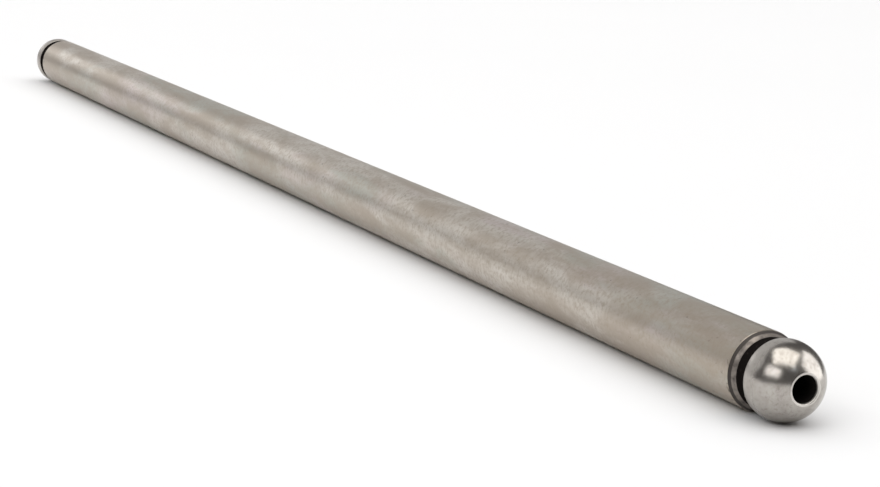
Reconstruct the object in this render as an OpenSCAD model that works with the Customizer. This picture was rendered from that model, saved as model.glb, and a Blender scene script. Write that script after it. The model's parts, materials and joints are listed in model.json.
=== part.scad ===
// Engine pushrod: a one-piece steel tube, swaged to a ball at each end, with an oil passage right through.
// The rod lies along Y, with the origin on its axis at mid-length.

/* [Rod] */
// Length over the two balls, taken as whole spheres
gauge_length = 254; // [120:0.5:330]
// Outside diameter of the tube
tube_d = 7.94; // [7.2:0.01:9.6]
// Wall thickness of the tube
tube_wall = 2.03; // [1.2:0.01:2.4]

/* [Ball] */
// Diameter of each ground ball
ball_d = 7.86; // [7:0.01:9.6]
// Angle that the ground part of the ball wraps around its tip
ball_wrap = 210; // [190:1:230]

/* [Neck] */
// Radial depth of the neck below the back edge of the ball
neck_depth = 0.65; // [0.3:0.05:0.9]
// Radius of the rounded floor of the neck
neck_fillet = 1; // [0.95:0.05:1.2]
// Distance from the ball's centre back to where the tube has its full diameter
shoulder_back = 3.6; // [3.4:0.05:8]
// Radial height of the bevel on the tube's shoulder
shoulder_bevel = 0.5; // [0.2:0.05:0.7]
// Length of that bevel along the rod
shoulder_bevel_length = 0.8; // [0.3:0.05:0.8]

/* [Oil passage] */
// Diameter of the oil hole through each ball and neck
oil_hole_d = 2.7; // [1.5:0.05:3.2]
// Edge break around the mouth of the oil hole
mouth_break = 0.2; // [0.05:0.05:0.4]
// Distance from the ball's centre back to the inner end of the oil hole
oil_hole_back = 6; // [5:0.5:20]
// Length over which the oil hole opens out to the bore of the tube
passage_taper = 8; // [3:0.5:20]

/* [Hidden] */
$fn = 96;

steel = [0.66, 0.63, 0.58];

tube_r = tube_d / 2;
bore_r = tube_r - tube_wall;
ball_r = ball_d / 2;
oil_r = oil_hole_d / 2;
mouth_r = oil_r + mouth_break;

// Stations along the rod, measured from mid-length to one end
ball_y = gauge_length / 2 - ball_r;
shoulder_y = ball_y - shoulder_back;
bevel_y = shoulder_y + shoulder_bevel_length;
mouth_y = ball_y + sqrt(ball_r * ball_r - mouth_r * mouth_r);
oil_hole_y = ball_y - oil_hole_back;
taper_y = oil_hole_y - passage_taper;

// The ball's back edge, where the ground surface stops, and the round neck that starts there
edge_angle = (ball_wrap - 180) / 2;
edge_r = ball_r * cos(edge_angle);
edge_y = ball_y - ball_r * sin(edge_angle);
neck_centre_r = edge_r - neck_depth + neck_fillet;
neck_centre_y = edge_y - sqrt(neck_depth * (2 * neck_fillet - neck_depth));

// Closes an outline given from mid-length to one end with the same points at the other end
function with_other_end(points) = concat(
    points,
    [for (i = [len(points) - 1 : -1 : 0]) [points[i].x, -points[i].y]]
);

// Straight tube with a bevelled shoulder, and the stub that reaches into the ball
module tube_outline() {
    polygon(with_other_end([
        [tube_r, shoulder_y],
        [tube_r - shoulder_bevel, bevel_y],
        [tube_r - shoulder_bevel, neck_centre_y],
        [edge_r, neck_centre_y],
        [edge_r, ball_y],
        [0, ball_y]
    ]));
}

// One side of each ball
module ball_outline() {
    for (end = [-1, 1])
        translate([0, end * ball_y])
            intersection() {
                circle(r = ball_r);
                translate([0, -ball_r])
                    square([ball_r, ball_d]);
            }
}

// Round groove that leaves each neck, open all the way out
module neck_cut() {
    for (end = [-1, 1])
        translate([neck_centre_r, end * neck_centre_y]) {
            circle(r = neck_fillet);
            translate([0, -neck_fillet])
                square([tube_d, 2 * neck_fillet]);
        }
}

// Oil passage from end to end: the bore of the tube, a taper, the oil hole and its edge break
module passage_cut() {
    polygon(with_other_end([
        [bore_r, taper_y],
        [oil_r, oil_hole_y],
        [oil_r, mouth_y - mouth_break],
        [mouth_r, mouth_y],
        [mouth_r, mouth_y + ball_r],
        [0, mouth_y + ball_r]
    ]));
}

// The whole rod, turned from one half-section and laid along Y
module pushrod() {
    color(steel)
        rotate([-90, 0, 0])
            rotate_extrude()
                difference() {
                    union() {
                        tube_outline();
                        ball_outline();
                    }
                    neck_cut();
                    passage_cut();
                }
}

pushrod();
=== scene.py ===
import json
import math
from typing import NamedTuple

import bmesh
import bpy
from mathutils import Matrix, Vector


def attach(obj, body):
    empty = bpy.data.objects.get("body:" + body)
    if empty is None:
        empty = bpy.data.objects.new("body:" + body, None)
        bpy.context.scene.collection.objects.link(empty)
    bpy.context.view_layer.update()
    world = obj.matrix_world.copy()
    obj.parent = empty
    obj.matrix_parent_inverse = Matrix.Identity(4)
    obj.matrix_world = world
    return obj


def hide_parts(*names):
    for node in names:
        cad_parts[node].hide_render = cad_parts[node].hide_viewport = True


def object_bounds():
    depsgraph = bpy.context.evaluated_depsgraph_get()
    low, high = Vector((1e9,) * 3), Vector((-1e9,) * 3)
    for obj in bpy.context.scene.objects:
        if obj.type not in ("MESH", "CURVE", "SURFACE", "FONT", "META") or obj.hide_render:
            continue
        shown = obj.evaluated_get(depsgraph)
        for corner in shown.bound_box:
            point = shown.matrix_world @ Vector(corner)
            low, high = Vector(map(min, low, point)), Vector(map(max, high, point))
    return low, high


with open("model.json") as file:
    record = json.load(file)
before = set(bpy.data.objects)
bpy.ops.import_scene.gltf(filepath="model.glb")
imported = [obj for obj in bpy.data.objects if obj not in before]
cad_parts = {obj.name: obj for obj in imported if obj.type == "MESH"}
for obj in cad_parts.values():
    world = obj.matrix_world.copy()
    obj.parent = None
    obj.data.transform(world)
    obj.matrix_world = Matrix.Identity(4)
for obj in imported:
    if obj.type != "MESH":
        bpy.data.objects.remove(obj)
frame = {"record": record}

bl_info = {
    "name": "Engine Pushrod",
    "version": (1, 0, 0),
    "blender": (4, 5, 0),
    "location": "View3D > Sidebar > Pushrod",
    "description": "Turns a ball-ended engine pushrod and sets it on a white studio floor",
    "category": "Object",
}

MM = 0.001
WELD = 1e-7  # points closer than this, in metres, are one point

# What the frame says, in metres
CAD_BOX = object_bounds()
MOUNTS = {mount["name"]: mount for mount in frame["record"]["mounts"]}
SHANK = MOUNTS["guide_shank"]["dims"]
SHANK_RADIUS = SHANK["r_mm"] * MM
SHOULDER_PLACE = SHANK["length_mm"] * MM / 2
BALL_PLACE = MOUNTS["ball_seat_b"]["pos_m"][1]
OIL_HOLE_RADIUS = MOUNTS["oil_hole_b"]["dims"]["r_mm"] * MM
MOUTH_PLACE = CAD_BOX[1].y
FLOOR_HEIGHT = -SHANK_RADIUS

# Names that tie the rod to the frame
BODY = "root"
NODE = "pushrod"


def length(name, description, default):
    """A size in metres that the panel shows."""
    return bpy.props.FloatProperty(
        name=name, description=description, default=default, min=0, precision=5, unit="LENGTH"
    )


def colour(name, description, default):
    """A linear colour that the panel shows."""
    return bpy.props.FloatVectorProperty(
        name=name, description=description, default=default, size=3, min=0, max=1, subtype="COLOR"
    )


def place(name, description, default):
    """A point in the rod's frame, in metres."""
    return bpy.props.FloatVectorProperty(
        name=name, description=description, default=default, size=3, precision=4, subtype="TRANSLATION"
    )


class PushrodSizes(bpy.types.PropertyGroup):
    """Sizes of the turned rod"""

    tube_radius: length("Tube radius", "Outside radius of the straight tube", SHANK_RADIUS)
    tube_wall: length("Tube wall", "Wall thickness of the tube", 2.03 * MM)
    ball_place: length("Ball place", "Distance from mid-length to a ball's centre", BALL_PLACE)
    shoulder_place: length("Shoulder place", "Distance from mid-length to a shoulder", SHOULDER_PLACE)
    shoulder_bevel: length("Shoulder bevel", "Radial height of the shoulder's bevel", 0.5 * MM)
    bevel_length: length("Bevel length", "Length of the shoulder's bevel along the rod", 0.8 * MM)
    ball_wrap: bpy.props.FloatProperty(
        name="Ball wrap",
        description="Angle that the ground ball wraps around its tip",
        default=math.radians(210),
        subtype="ANGLE",
    )
    neck_depth: length("Neck depth", "Depth of the neck below the ball's back edge", 0.65 * MM)
    neck_fillet: length("Neck fillet", "Radius of the neck's rounded floor", 1.0 * MM)
    oil_hole_radius: length("Oil hole radius", "Radius of the oil hole", OIL_HOLE_RADIUS)
    mouth_place: length("Mouth place", "Distance from mid-length to the oil hole's rim", MOUTH_PLACE)
    mouth_break: length("Mouth break", "Edge break around the oil hole", 0.2 * MM)
    oil_hole_back: length("Oil hole back", "Depth of the oil hole behind the ball's centre", 6.0 * MM)
    passage_taper: length("Passage taper", "Length over which the passage opens out", 8.0 * MM)
    edge_ease: length("Edge ease", "How far back an edge is rounded off", 0.08 * MM)
    segments: bpy.props.IntProperty(
        name="Segments", description="Faces around the rod", default=160, min=24, max=256
    )


class PushrodFinish(bpy.types.PropertyGroup):
    """Colours of the rod's surfaces"""

    tube: colour("Tube", "Satin ground steel of the tube", (0.60, 0.562, 0.508))
    stain: colour("Stain", "Tan stain on the tube", (0.415, 0.355, 0.29))
    tint: colour("Tint", "Green-grey stain on the tube", (0.452, 0.453, 0.398))
    blush: colour("Blush", "Lilac-grey stain on the tube", (0.555, 0.49, 0.468))
    ball: colour("Ball", "Polished steel of the balls", (0.48, 0.452, 0.418))
    smear: colour("Smear", "Greasy smears on the balls", (0.35, 0.32, 0.29))
    pit: colour("Pit", "Fine dark pits in the balls", (0.27, 0.24, 0.215))
    # The lip colour is lighter than the ball's steel: a painted highlight on the real broken edge
    lip: colour("Lip", "Bright broken edge of the oil hole", (0.66, 0.63, 0.59))
    bevel: colour("Bevel", "Turned metal where the bevel is bare", (0.27, 0.24, 0.215))
    scale: colour("Scale", "Dark brown scale, flakes and smudges", (0.040, 0.032, 0.027))
    # The neck black is partly real scale and partly painted shade that deepens the recess between ball and
    # shoulder
    soot_and_painted_shade: colour("Soot", "Black scale in the necks", (0.007, 0.0055, 0.005))
    passage: colour("Passage", "Oily black inside of the passage", (0.012, 0.010, 0.009))


class PushrodStudio(bpy.types.PropertyGroup):
    """Camera, floor and room"""

    camera_place: place("Camera place", "Where the camera stands", (-0.11945, -0.30004, 0.05008))
    camera_aim: place("Camera aim", "Point that the camera looks at", (0.0, -0.0471, -0.0018))
    camera_roll: bpy.props.FloatProperty(
        name="Camera roll", description="Turn about the view", default=math.radians(3.35), subtype="ANGLE"
    )
    lens: bpy.props.FloatProperty(
        name="Lens", description="Focal length", default=96.0, min=10, unit="CAMERA"
    )
    floor: colour("Floor", "White floor", (0.86, 0.86, 0.86))
    room: colour("Room", "Dim room around the lights", (0.12, 0.115, 0.115))


WHITE = (1.0, 1.0, 1.0)
WARM = (1.0, 0.985, 0.95)
COOL = (0.82, 0.9, 1.0)


class LightPanel(NamedTuple):
    """A soft light panel: its place from the near ball, which it faces, and its size, in metres."""

    name: str
    spot: tuple
    width: float
    height: float
    brightness: float
    tone: tuple = WHITE
    mirrored: bool = True
    lights_matt: bool = True


# Only the left and fill panels light matt surfaces, the floor above all, and only the fill is left out
# of reflections
PANELS = (
    LightPanel("top_panel", (-0.12, -0.14, 1.375), 1.5, 1.4, 2.0, WARM, lights_matt=False),
    LightPanel("left_panel", (-1.225, -0.425, 0.775), 1.15, 0.65, 1.85),
    LightPanel("right_panel", (1.25, -0.425, 0.675), 1.55, 1.5, 1.95, lights_matt=False),
    LightPanel("front_panel", (-0.03, -1.05, 1.075), 0.3, 0.3, 1.0, COOL, lights_matt=False),
    LightPanel("back_panel", (-0.2, 1.02, 0.51), 2.4, 1.04, 0.56, lights_matt=False),
    LightPanel("horizon_panel", (-0.17, 1.0, 0.225), 0.24, 0.22, 1.1, lights_matt=False),
    LightPanel("fill_panel", (0.0, 0.3, 3.2), 9.0, 9.0, 1.38, mirrored=False),
)


# Node trees


class Value:
    """A socket that takes part in Python expressions; each operator adds a Math node."""

    def __init__(self, graph, socket):
        self.graph = graph
        self.socket = socket

    def __add__(self, other):
        return self.graph.math("ADD", self, other)

    def __radd__(self, other):
        return self.graph.math("ADD", other, self)

    def __sub__(self, other):
        return self.graph.math("SUBTRACT", self, other)

    def __rsub__(self, other):
        return self.graph.math("SUBTRACT", other, self)

    def __mul__(self, other):
        return self.graph.math("MULTIPLY", self, other)

    def __rmul__(self, other):
        return self.graph.math("MULTIPLY", other, self)

    def __truediv__(self, other):
        return self.graph.math("DIVIDE", self, other)

    def __rtruediv__(self, other):
        return self.graph.math("DIVIDE", other, self)

    def __abs__(self):
        return self.graph.math("ABSOLUTE", self)

    def floor(self):
        return self.graph.math("FLOOR", self)

    def cos(self):
        return self.graph.math("COSINE", self)

    def sin(self):
        return self.graph.math("SINE", self)


class Graph:
    """Adds nodes to one node tree."""

    def __init__(self, tree):
        self.tree = tree

    def node(self, kind, settings=None, sockets=None, output=0):
        """Makes a node, applies its settings, then fills its sockets; returns one of its outputs."""
        made = self.tree.nodes.new(kind)
        for name, value in (settings or {}).items():
            setattr(made, name, value)
        for name, value in (sockets or {}).items():
            if isinstance(value, Value):
                self.tree.links.new(value.socket, made.inputs[name])
            else:
                made.inputs[name].default_value = value
        return Value(self, made.outputs[output]) if made.outputs else None

    def math(self, operation, first, second=0.0):
        """One operation on values or numbers."""
        return self.node("ShaderNodeMath", {"operation": operation}, {0: first, 1: second})

    def noise(self, where, scale, detail=3.0, roughness=0.55, distortion=0.0, stretch=None):
        """Noise from 0 to 1 about 0.5; a part of stretch below 1 draws the spots out along that axis."""
        if stretch:
            where = self.node("ShaderNodeMapping", None, {"Vector": where, "Scale": stretch})
        return self.node(
            "ShaderNodeTexNoise",
            None,
            {
                "Vector": where,
                "Scale": scale,
                "Detail": detail,
                "Roughness": roughness,
                "Distortion": distortion,
            },
        )

    def step(self, value, low, high, top=1.0):
        """Smooth rise from 0 to top as value goes from low to high; low may be the greater one."""
        return self.node(
            "ShaderNodeMapRange",
            {"interpolation_type": "SMOOTHSTEP"},
            {"Value": value, "From Min": low, "From Max": high, "To Min": 0.0, "To Max": top},
        )

    def mix(self, factor, first, second):
        """Colour between first and second, which are linear colours or colours from other nodes."""
        ends = [end if isinstance(end, Value) else (*end, 1.0) for end in (first, second)]
        return self.node(
            "ShaderNodeMix", {"data_type": "RGBA"}, {0: factor, 6: ends[0], 7: ends[1]}, output=2
        )

    def bump(self, height, depth, strength):
        """Normal bent by a height that stands for depth, in metres, where it is 1."""
        return self.node("ShaderNodeBump", None, {"Strength": strength, "Distance": depth, "Height": height})

    def along(self, where):
        """Distance from mid-length along the rod."""
        return abs(self.node("ShaderNodeSeparateXYZ", None, {0: where}, output=1))


def new_material(name):
    """An empty material and its graph, with Object coordinates."""
    material = bpy.data.materials.new(name)
    material.use_nodes = True
    material.node_tree.nodes.clear()
    graph = Graph(material.node_tree)
    where = graph.node("ShaderNodeTexCoord", output=3)
    return material, graph, where


def surface(graph, sockets):
    """Closes a material with a Principled shader."""
    shader = graph.node("ShaderNodeBsdfPrincipled", None, sockets)
    graph.node("ShaderNodeOutputMaterial", None, {"Surface": shader})


# Finishes: noise of scale 1000 has spots of about a millimetre


def ground_tube(finish, size):
    """Satin ground steel with cloudy stains, browner towards the ends, and grain, scuffs and rings."""
    material, graph, where = new_material("ground_tube")
    clouds = graph.noise(where, 240.0, detail=5.0, roughness=0.65, distortion=0.4, stretch=(1.0, 0.35, 1.0))
    tints = graph.noise(where, 150.0, distortion=0.4, stretch=(1.0, 0.2, 1.0))
    blushes = graph.noise(where, 95.0, distortion=0.8, stretch=(1.0, 0.3, 1.0))
    smudges = graph.noise(where, 1100.0, roughness=0.6, distortion=0.5)
    grain = graph.noise(where, 2100.0, roughness=0.65)
    scuffs = graph.noise(where, 2400.0, detail=2.0, roughness=0.6, stretch=(1.0, 0.05, 1.0))
    rings = graph.noise(where, 5200.0, detail=2.0, roughness=0.6, stretch=(0.12, 1.0, 0.12))
    along = graph.along(where)
    ends = graph.step(along, size.shoulder_place - 60 * MM, size.shoulder_place)
    rim = graph.step(along, size.shoulder_place - 2.5 * MM, size.shoulder_place)
    shade = graph.mix(graph.step(blushes, 0.46, 0.60, top=0.9), finish.tube, finish.blush)
    shade = graph.mix(graph.step(tints, 0.46, 0.60, top=0.9), shade, finish.tint)
    shade = graph.mix(graph.step(clouds + 0.08 * ends, 0.38, 0.66, top=0.85), shade, finish.stain)
    shade = graph.mix(graph.step(grain, 0.44, 0.70, top=0.8), shade, finish.stain)
    shade = graph.mix(graph.step(smudges + 0.1 * rim, 0.66, 0.80, top=0.7), shade, finish.scale)
    roughness = 0.28 + 0.10 * clouds + 0.06 * grain + 0.06 * scuffs
    bump = graph.bump(0.5 * rings + 0.3 * grain + 0.2 * scuffs, depth=0.02 * MM, strength=0.3)
    surface(graph, {"Base Color": shade, "Metallic": 1.0, "Roughness": roughness, "Normal": bump})
    return material


def polished_ball(finish, size):
    """Ground and polished steel, faintly wavy, with fine pits, smears and a dull band by the neck."""
    material, graph, where = new_material("polished_ball")
    pits = graph.noise(where, 2400.0, roughness=0.65)
    waves = graph.noise(where, 420.0, detail=2.0, roughness=0.5)
    smears = graph.noise(where, 620.0, detail=4.0, roughness=0.65, distortion=0.3)
    dull = graph.step(graph.along(where), size.ball_place + 1.2 * MM, size.ball_place - 0.6 * MM)
    shade = graph.mix(graph.step(smears, 0.42, 0.70, top=0.6), finish.ball, finish.smear)
    shade = graph.mix(graph.step(pits, 0.50, 0.76, top=0.7), shade, finish.pit)
    roughness = 0.16 + 0.08 * smears + 0.06 * pits + 0.14 * dull
    bump = graph.bump(waves + 0.05 * pits, depth=0.05 * MM, strength=1.0)
    surface(graph, {"Base Color": shade, "Metallic": 1.0, "Roughness": roughness, "Normal": bump})
    return material


def broken_lip(finish, size):
    """Satin ring where the edge of the oil hole is broken; its colour, lighter than the ball's steel, is a
    painted highlight.
    """
    material, graph, where = new_material("broken_lip")
    grain = graph.noise(where, 4200.0, detail=2.0, roughness=0.6)
    # Painted highlight: the lighter lip colour, flecked with the ball's steel, stands in for light caught by
    # the broken edge
    shade = graph.mix(graph.step(grain, 0.5, 0.8, top=0.4), finish.lip, finish.ball)
    surface(graph, {"Base Color": shade, "Metallic": 1.0, "Roughness": 0.42 + 0.1 * grain})
    return material


def turned_bevel(finish, size):
    """Bevel with a dark turned line by the tube and a barer band by the neck, both broken up by scale."""
    material, graph, where = new_material("turned_bevel")
    across = (graph.along(where) - size.shoulder_place) / size.bevel_length
    line_place = 0.24  # share of the bevel's length, from the tube
    beside = graph.step(abs(across - line_place), 0.16, 0.30)
    patches = graph.noise(where, 900.0, roughness=0.6, distortion=0.3)
    bare = graph.step(0.6 * beside + 1.6 * patches, 0.95, 1.65)
    shade = graph.mix(bare, finish.scale, finish.bevel)
    metallic = 0.3 + 0.7 * bare
    roughness = 0.5 - 0.14 * bare
    bump = graph.bump(beside, depth=0.03 * MM, strength=0.5)
    surface(graph, {"Base Color": shade, "Metallic": metallic, "Roughness": roughness, "Normal": bump})
    return material


def heat_scale(finish, size):
    """Black, matt scale in the neck with a few brown flakes; made near-black with almost no sheen, it is
    partly painted shade in the recess.
    """
    material, graph, where = new_material("heat_scale")
    flakes = graph.noise(where, 3200.0, detail=4.0, roughness=0.65, distortion=0.4)
    # Near-black base and almost no specular: painted shade in the neck's recess, over real dark scale with
    # brown flakes
    shade = graph.mix(graph.step(flakes, 0.56, 0.78, top=0.8), finish.soot_and_painted_shade, finish.scale)
    roughness = 0.6 + 0.3 * flakes
    bump = graph.bump(flakes, depth=0.04 * MM, strength=0.5)
    surface(graph, {"Base Color": shade, "Roughness": roughness, "Specular IOR Level": 0.03, "Normal": bump})
    return material


def oily_passage(finish, size):
    """Black, oily inside of the passage."""
    material, graph, where = new_material("oily_passage")
    film = graph.noise(where, 900.0, roughness=0.6)
    shade = graph.mix(film, finish.passage, finish.soot_and_painted_shade)
    surface(graph, {"Base Color": shade, "Roughness": 0.45 + 0.2 * film, "Specular IOR Level": 0.2})
    return material


def white_floor(tone):
    """Matt white floor with a trace of unevenness."""
    material, graph, where = new_material("white_floor")
    wash = graph.noise(where, 6.0, detail=2.0, roughness=0.5)
    shade = graph.mix(wash, tone, [part * 0.98 for part in tone])
    surface(graph, {"Base Color": shade, "Roughness": 0.9, "Specular IOR Level": 0.1})
    return material


# Of two finishes that meet at an edge, the later one takes the rounding of that edge
FINISHES = {
    "passage": oily_passage,
    "scale": heat_scale,
    "bevel": turned_bevel,
    "tube": ground_tube,
    "ball": polished_ball,
    "lip": broken_lip,
}
SLOTS = {finish: slot for slot, finish in enumerate(FINISHES)}


# Half-section of the rod: points are (distance from the axis, place along the rod)


def arc(centre, radius, start, stop, steps):
    """Points on a circle, with angles taken from the outward direction."""
    angles = [start + (stop - start) * i / steps for i in range(steps + 1)]
    return [centre + radius * Vector((math.cos(a), math.sin(a))) for a in angles]


def line(start, stop, steps):
    """Evenly spaced points from start to stop."""
    return [start.lerp(stop, i / steps) for i in range(steps + 1)]


def flipped(point):
    """The same point at the other end of the rod."""
    return Vector((point.x, -point.y))


def guarded(points, reach):
    """The same run with one more point close to each end, so that its shading stays true up to there."""
    head = points[0].lerp(points[1], reach / (points[1] - points[0]).length)
    tail = points[-1].lerp(points[-2], reach / (points[-2] - points[-1]).length)
    return [points[0], head, *points[1:-1], tail, points[-1]]


def trimmed(points, reach):
    """The same run without its last stretch of that length."""
    points = list(points)
    while len(points) > 1:
        last = points.pop()
        gap = (last - points[-1]).length
        if gap > reach:
            return points + [last.lerp(points[-1], reach / gap)]
        reach -= gap
    raise ValueError("a run is shorter than the ease of its edge")


def run_length(points):
    """Length of a run, point to point."""
    return sum((after - before).length for before, after in zip(points, points[1:]))


def eased(runs, reach, steps=6):
    """Rounds the corner between each run and the next, round the loop."""
    most = 0.4  # share of a short run that each of its ends may give up
    finishes = [finish for finish, _ in runs]
    corners = [points[-1] for _, points in runs]
    cuts = []
    for _, points in runs:
        own_reach = min(reach, most * run_length(points))
        points = trimmed(points, own_reach)
        cuts.append(trimmed(points[::-1], own_reach)[::-1])
    for i, corner in enumerate(corners):
        after = (i + 1) % len(cuts)
        first, last = cuts[i][-1], cuts[after][0]
        shares = [k / steps for k in range(steps + 1)]
        curve = [first.lerp(corner, t).lerp(corner.lerp(last, t), t) for t in shares]
        if SLOTS[finishes[i]] >= SLOTS[finishes[after]]:
            cuts[i] = cuts[i] + curve[1:]
        else:
            cuts[after] = curve[:-1] + cuts[after]
    return list(zip(finishes, cuts))


def half_runs(size):
    """Runs of one end, from the oil hole's mouth over the ball and the neck to the shoulder."""
    # The ball runs from the rim of the mouth to its back edge
    mouth_radius = size.oil_hole_radius + size.mouth_break
    mouth = Vector((mouth_radius, size.mouth_place))
    lip_centre = Vector((mouth_radius, size.mouth_place - size.mouth_break))
    ball_centre = Vector((0, size.ball_place))
    ball_radius = (mouth - ball_centre).length
    mouth_angle = math.acos(mouth_radius / ball_radius)
    edge_angle = (size.ball_wrap - math.pi) / 2
    edge = ball_centre + ball_radius * Vector((math.cos(edge_angle), -math.sin(edge_angle)))
    # The neck's round floor starts at that edge and comes up to the land below the bevel
    floor_drop = math.sqrt(size.neck_depth * (2 * size.neck_fillet - size.neck_depth))
    neck_centre = edge + Vector((size.neck_fillet - size.neck_depth, -floor_drop))
    neck_start = math.atan2(floor_drop, edge.x - neck_centre.x)
    land_radius = size.tube_radius - size.shoulder_bevel
    land_offset = land_radius - neck_centre.x
    land_drop = math.sqrt(size.neck_fillet**2 - land_offset**2)
    neck_stop = 2 * math.pi + math.atan2(-land_drop, land_offset)
    land_start = neck_centre + Vector((land_offset, -land_drop))
    land_stop = Vector((land_radius, size.shoulder_place + size.bevel_length))
    shoulder = Vector((size.tube_radius, size.shoulder_place))
    return [
        ("lip", arc(lip_centre, size.mouth_break, math.pi, math.pi / 2, steps=8)),
        ("ball", arc(ball_centre, ball_radius, mouth_angle, -edge_angle, steps=72)),
        ("scale", arc(neck_centre, size.neck_fillet, neck_start, neck_stop, steps=24)),
        ("scale", line(land_start, land_stop, steps=4)),
        ("bevel", line(land_stop, shoulder, steps=8)),
    ]


def passage_run(size):
    """The inside of the rod, from the far mouth back to the near one."""
    bore_radius = size.tube_radius - size.tube_wall
    inner = size.ball_place - size.oil_hole_back
    stations = [
        Vector((size.oil_hole_radius, size.mouth_place - size.mouth_break)),
        Vector((size.oil_hole_radius, inner)),
        Vector((bore_radius, inner - size.passage_taper)),
    ]
    stations = [flipped(point) for point in stations] + stations[::-1]
    points = [stations[0]]
    for start, stop in zip(stations, stations[1:]):
        points += line(start, stop, steps=8)[1:]
    return ("passage", points)


def section_bands(size):
    """The closed half-section as bands of one finish each, with its edges eased."""
    near = half_runs(size)
    far = [(finish, [flipped(point) for point in points[::-1]]) for finish, points in near[::-1]]
    shoulder = near[-1][1][-1]
    tube = ("tube", guarded(line(shoulder, flipped(shoulder), steps=48), 2 * size.edge_ease))
    bands = []
    for finish, points in eased(near + [tube] + far + [passage_run(size)], size.edge_ease):
        if bands and bands[-1][0] == finish:
            bands[-1][1].extend(points)
        else:
            bands.append((finish, list(points)))
    return bands


# Turning


def turning_tree():
    """Geometry Nodes group that turns a run of points about Y and gives it one finish."""
    tree = bpy.data.node_groups.new("Turned Band", "GeometryNodeTree")
    for name, kind in (("Run", "Geometry"), ("Segments", "Int"), ("Finish", "Material")):
        tree.interface.new_socket(name, in_out="INPUT", socket_type="NodeSocket" + kind)
    tree.interface.new_socket("Band", in_out="OUTPUT", socket_type="NodeSocketGeometry")
    graph = Graph(tree)
    group = graph.node("NodeGroupInput").socket.node
    run, segments, finish = (Value(graph, group.outputs[name]) for name in ("Run", "Segments", "Finish"))
    stations = graph.node("GeometryNodeAttributeDomainSize", {"component": "MESH"}, {"Geometry": run})
    around = segments + 1
    grid = graph.node("GeometryNodeMeshGrid", None, {"Vertices X": stations, "Vertices Y": around})
    index = graph.node("GeometryNodeInputIndex")
    nudge = 1e-4  # keeps the division from falling just short of a whole number
    station = (index / around + nudge).floor()
    angle = (index - station * around) * (2 * math.pi) / segments
    sampled = graph.node(
        "GeometryNodeSampleIndex",
        {"data_type": "FLOAT_VECTOR", "domain": "POINT"},
        {"Geometry": run, "Value": graph.node("GeometryNodeInputPosition"), "Index": station},
    )
    radius = graph.node("ShaderNodeSeparateXYZ", None, {0: sampled}, output=0)
    along = graph.node("ShaderNodeSeparateXYZ", None, {0: sampled}, output=1)
    round_spot = {0: radius * angle.cos(), 1: along, 2: radius * angle.sin()}
    spot = graph.node("ShaderNodeCombineXYZ", None, round_spot)
    turned = graph.node("GeometryNodeSetPosition", None, {"Geometry": grid, "Position": spot})
    closed = graph.node("GeometryNodeMergeByDistance", None, {"Geometry": turned, "Distance": WELD})
    smooth = graph.node("GeometryNodeSetShadeSmooth", None, {"Geometry": closed})
    whole = graph.node("GeometryNodeRealizeInstances", None, {"Geometry": smooth})
    finished = graph.node("GeometryNodeSetMaterial", None, {"Geometry": whole, "Material": finish})
    graph.node("NodeGroupOutput", None, {"Band": finished})
    return tree


def turned_mesh(tree, points, segments, material):
    """Turns one run of points and returns the result as a plain mesh."""
    run = bpy.data.meshes.new("run")
    links = [(i, i + 1) for i in range(len(points) - 1)]
    run.from_pydata([(point.x, point.y, 0) for point in points], links, [])
    carrier = bpy.data.objects.new("run", run)
    bpy.context.scene.collection.objects.link(carrier)
    modifier = carrier.modifiers.new("Turned Band", "NODES")
    modifier.node_group = tree
    inputs = {item.name: item.identifier for item in tree.interface.items_tree if item.in_out == "INPUT"}
    modifier[inputs["Segments"]] = segments
    modifier[inputs["Finish"]] = material
    bpy.context.view_layer.update()
    evaluated = carrier.evaluated_get(bpy.context.evaluated_depsgraph_get())
    mesh = bpy.data.meshes.new_from_object(evaluated)
    bpy.data.objects.remove(carrier)
    bpy.data.meshes.remove(run)
    return mesh


def joined(name, meshes, materials):
    """Welds the turned bands into one closed mesh whose faces point outwards."""
    build = bmesh.new()
    for mesh, slot in meshes:
        before = len(build.faces)
        build.from_mesh(mesh)
        build.faces.ensure_lookup_table()
        for face in build.faces[before:]:
            face.material_index = slot
        bpy.data.meshes.remove(mesh)
    bmesh.ops.remove_doubles(build, verts=build.verts, dist=WELD)
    bmesh.ops.recalc_face_normals(build, faces=build.faces)
    whole = bpy.data.meshes.new(name)
    build.to_mesh(whole)
    build.free()
    for material in materials:
        whole.materials.append(material)
    return whole


class PUSHROD_OT_turn(bpy.types.Operator):
    """Turn the rod from its half-section"""

    bl_idname = "pushrod.turn"
    bl_label = "Turn Rod"

    def execute(self, context):
        size = context.scene.pushrod_sizes
        materials = [make(context.scene.pushrod_finish, size) for make in FINISHES.values()]
        tree = turning_tree()
        meshes = []
        for finish, points in section_bands(size):
            slot = SLOTS[finish]
            meshes.append((turned_mesh(tree, points, size.segments, materials[slot]), slot))
        rod = bpy.data.objects.new("turned_rod", joined("turned_rod", meshes, materials))
        context.scene.collection.objects.link(rod)
        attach(rod, BODY)
        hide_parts(NODE)
        return {"FINISHED"}


# Stage


def facing(spot, aim):
    """Turn that points an object's -Z from spot to aim."""
    return (Vector(aim) - Vector(spot)).to_track_quat("-Z", "Y")


def add_camera(scene, studio):
    """The camera at the studio's place, turned about its own view by the roll."""
    camera = bpy.data.objects.new("camera", bpy.data.cameras.new("camera"))
    camera.data.lens = studio.lens
    camera.data.clip_start = 10 * MM
    turn = facing(studio.camera_place, studio.camera_aim).to_matrix().to_4x4()
    turn = turn @ Matrix.Rotation(studio.camera_roll, 4, "Z")
    camera.matrix_world = Matrix.Translation(studio.camera_place) @ turn
    scene.collection.objects.link(camera)
    scene.camera = camera


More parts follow.
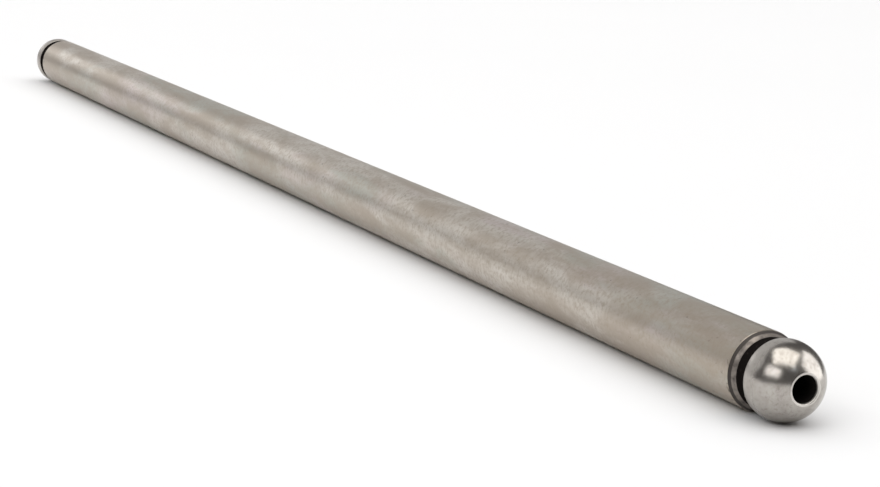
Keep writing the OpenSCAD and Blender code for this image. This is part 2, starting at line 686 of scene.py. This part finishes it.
def add_panel(scene, panel):
    """A soft light panel that faces the near ball."""
    near = Vector((0.0, -BALL_PLACE, 0.0))
    light = bpy.data.lights.new(panel.name, "AREA")
    light.shape = "RECTANGLE"
    light.size = panel.width
    light.size_y = panel.height
    # The power of a panel that shines evenly is pi times its area times how bright it looks
    light.energy = panel.brightness * math.pi * panel.width * panel.height
    light.color = panel.tone
    lamp = bpy.data.objects.new(panel.name, light)
    lamp.location = near + Vector(panel.spot)
    lamp.rotation_mode = "QUATERNION"
    lamp.rotation_quaternion = facing(lamp.location, near)
    lamp.visible_glossy = panel.mirrored
    lamp.visible_diffuse = panel.lights_matt
    scene.collection.objects.link(lamp)


def add_floor(scene, studio):
    """A wide white floor that the tube lies on."""
    half = 5.0  # half of its side, in metres
    corners = [(-half, -half), (half, -half), (half, half), (-half, half)]
    mesh = bpy.data.meshes.new("floor")
    mesh.from_pydata([(x, y, FLOOR_HEIGHT) for x, y in corners], [], [(0, 1, 2, 3)])
    mesh.materials.append(white_floor(studio.floor))
    floor = bpy.data.objects.new("floor", mesh)
    scene.collection.objects.link(floor)


class PUSHROD_OT_stage(bpy.types.Operator):
    """Set the floor, the lights and the camera"""

    bl_idname = "pushrod.stage"
    bl_label = "Set Stage"

    def execute(self, context):
        scene = context.scene
        studio = scene.pushrod_studio
        add_camera(scene, studio)
        add_floor(scene, studio)
        for panel in PANELS:
            add_panel(scene, panel)
        world = bpy.data.worlds.new("studio")
        world.use_nodes = True
        world.node_tree.nodes["Background"].inputs["Color"].default_value = (*studio.room, 1.0)
        scene.world = world
        scene.view_settings.view_transform = "Standard"
        return {"FINISHED"}


class PUSHROD_PT_panel(bpy.types.Panel):
    """Pushrod sizes, finish and studio"""

    bl_idname = "PUSHROD_PT_panel"
    bl_label = "Pushrod"
    bl_space_type = "VIEW_3D"
    bl_region_type = "UI"
    bl_category = "Pushrod"

    def draw(self, context):
        for group_name, group in GROUPS.items():
            column = self.layout.column()
            for name in group.__annotations__:
                column.prop(getattr(context.scene, group_name), name)
        self.layout.operator(PUSHROD_OT_turn.bl_idname)
        self.layout.operator(PUSHROD_OT_stage.bl_idname)


GROUPS = {"pushrod_sizes": PushrodSizes, "pushrod_finish": PushrodFinish, "pushrod_studio": PushrodStudio}
CLASSES = (*GROUPS.values(), PUSHROD_OT_turn, PUSHROD_OT_stage, PUSHROD_PT_panel)


def register():
    for cls in CLASSES:
        bpy.utils.register_class(cls)
    for name, group in GROUPS.items():
        setattr(bpy.types.Scene, name, bpy.props.PointerProperty(type=group))


def unregister():
    for name in GROUPS:
        delattr(bpy.types.Scene, name)
    for cls in reversed(CLASSES):
        bpy.utils.unregister_class(cls)


def main():
    register()
    bpy.ops.pushrod.turn()
    bpy.ops.pushrod.stage()


if __name__ == "__main__":
    main()
